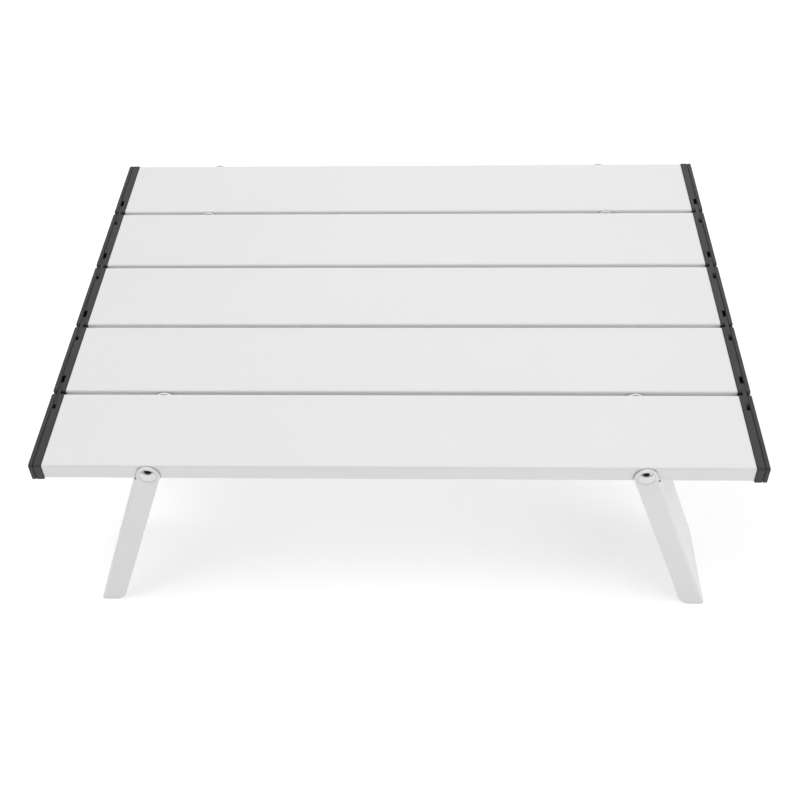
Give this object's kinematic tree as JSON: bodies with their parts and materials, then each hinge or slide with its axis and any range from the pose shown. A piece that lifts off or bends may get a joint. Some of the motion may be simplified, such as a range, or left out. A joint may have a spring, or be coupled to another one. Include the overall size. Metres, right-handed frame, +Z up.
{
  "type": "folding side table",
  "caption": "Low folding side table with a slatted top, dark hinged end caps and splayed folding sheet legs.",
  "frame": {"origin": "on the floor under the centre of the table top", "axes": "+X to the table's right, along the slats; +Y to its rear; +Z up"},
  "size_m": [0.4, 0.2964, 0.12],
  "materials": {
    "slat_paint": "white satin powder coat",
    "leg_paint": "white satin powder coat",
    "cap_plastic": "fine moulded texture",
    "link_plastic": "moulded",
    "pin_steel": "turned",
    "rivet_steel": "bright plated"
  },
  "bodies": {
    "slat_1_assembly": {"slat_1": "slat_paint", "cap_body_1_left": "cap_plastic", "cap_body_1_right": "cap_plastic", "cap_cover_1_left": "cap_plastic", "cap_cover_1_right": "cap_plastic", "hinge_pins_1_left": "pin_steel", "hinge_pins_1_right": "pin_steel", "leg_rivets_rear_left": "rivet_steel", "leg_rivets_rear_right": "rivet_steel", "leg_washers_rear_left": "pin_steel", "leg_washers_rear_right": "pin_steel"},
    "slat_2_assembly": {"slat_2": "slat_paint", "cap_body_2_left": "cap_plastic", "cap_body_2_right": "cap_plastic", "cap_cover_2_left": "cap_plastic", "cap_cover_2_right": "cap_plastic", "hinge_pins_2_left": "pin_steel", "hinge_pins_2_right": "pin_steel"},
    "slat_3_assembly": {"slat_3": "slat_paint", "cap_body_3_left": "cap_plastic", "cap_body_3_right": "cap_plastic", "cap_cover_3_left": "cap_plastic", "cap_cover_3_right": "cap_plastic", "hinge_pins_3_left": "pin_steel", "hinge_pins_3_right": "pin_steel"},
    "slat_4_assembly": {"slat_4": "slat_paint", "cap_body_4_left": "cap_plastic", "cap_body_4_right": "cap_plastic", "cap_cover_4_left": "cap_plastic", "cap_cover_4_right": "cap_plastic", "hinge_pins_4_left": "pin_steel", "hinge_pins_4_right": "pin_steel"},
    "slat_5_assembly": {"slat_5": "slat_paint", "cap_body_5_left": "cap_plastic", "cap_body_5_right": "cap_plastic", "cap_cover_5_left": "cap_plastic", "cap_cover_5_right": "cap_plastic", "hinge_pins_5_left": "pin_steel", "hinge_pins_5_right": "pin_steel", "leg_rivets_front_left": "rivet_steel", "leg_rivets_front_right": "rivet_steel", "leg_washers_front_left": "pin_steel", "leg_washers_front_right": "pin_steel"},
    "links_12": {"hinge_link_12_left": "link_plastic", "hinge_link_12_right": "link_plastic"},
    "links_23": {"hinge_link_23_left": "link_plastic", "hinge_link_23_right": "link_plastic"},
    "links_34": {"hinge_link_34_left": "link_plastic", "hinge_link_34_right": "link_plastic"},
    "links_45": {"hinge_link_45_left": "link_plastic", "hinge_link_45_right": "link_plastic"},
    "leg_rear_left": {"leg_rear_left": "leg_paint"},
    "leg_rear_right": {"leg_rear_right": "leg_paint"},
    "leg_front_left": {"leg_front_left": "leg_paint"},
    "leg_front_right": {"leg_front_right": "leg_paint"}
  },
  "joints": [
    {"name": "rear_inner_seam_pin_a", "type": "hinge", "parent": "slat_3_assembly", "child": "links_23", "pos_m": [0, 0.02304, 0.1121], "axis": [-1, 0, 0], "range_deg": [0, 28]},
    {"name": "rear_inner_seam_pin_b", "type": "hinge", "parent": "links_23", "child": "slat_2_assembly", "pos_m": [0, 0.03544, 0.1121], "axis": [-1, 0, 0], "range_deg": [0, 28]},
    {"name": "rear_outer_seam_pin_a", "type": "hinge", "parent": "slat_2_assembly", "child": "links_12", "pos_m": [0, 0.08152, 0.1121], "axis": [-1, 0, 0], "range_deg": [0, 80]},
    {"name": "rear_outer_seam_pin_b", "type": "hinge", "parent": "links_12", "child": "slat_1_assembly", "pos_m": [0, 0.09392, 0.1121], "axis": [-1, 0, 0], "range_deg": [0, 10]},
    {"name": "rear_left_leg_fold", "type": "hinge", "parent": "slat_1_assembly", "child": "leg_rear_left", "pos_m": [-0.135, 0.11696, 0.1128], "axis": [0, -1, 0], "range_deg": [0, 110]},
    {"name": "rear_right_leg_fold", "type": "hinge", "parent": "slat_1_assembly", "child": "leg_rear_right", "pos_m": [0.135, 0.11696, 0.1128], "axis": [0, 1, 0], "range_deg": [0, 110]},
    {"name": "front_inner_seam_pin_a", "type": "hinge", "parent": "slat_3_assembly", "child": "links_34", "pos_m": [0, -0.02304, 0.1121], "axis": [1, 0, 0], "range_deg": [0, 28]},
    {"name": "front_inner_seam_pin_b", "type": "hinge", "parent": "links_34", "child": "slat_4_assembly", "pos_m": [0, -0.03544, 0.1121], "axis": [1, 0, 0], "range_deg": [0, 28]},
    {"name": "front_outer_seam_pin_a", "type": "hinge", "parent": "slat_4_assembly", "child": "links_45", "pos_m": [0, -0.08152, 0.1121], "axis": [1, 0, 0], "range_deg": [0, 80]},
    {"name": "front_outer_seam_pin_b", "type": "hinge", "parent": "links_45", "child": "slat_5_assembly", "pos_m": [0, -0.09392, 0.1121], "axis": [1, 0, 0], "range_deg": [0, 10]},
    {"name": "front_left_leg_fold", "type": "hinge", "parent": "slat_5_assembly", "child": "leg_front_left", "pos_m": [-0.135, -0.11696, 0.1128], "axis": [0, -1, 0], "range_deg": [0, 110]},
    {"name": "front_right_leg_fold", "type": "hinge", "parent": "slat_5_assembly", "child": "leg_front_right", "pos_m": [0.135, -0.11696, 0.1128], "axis": [0, 1, 0], "range_deg": [0, 110]}
  ]
}
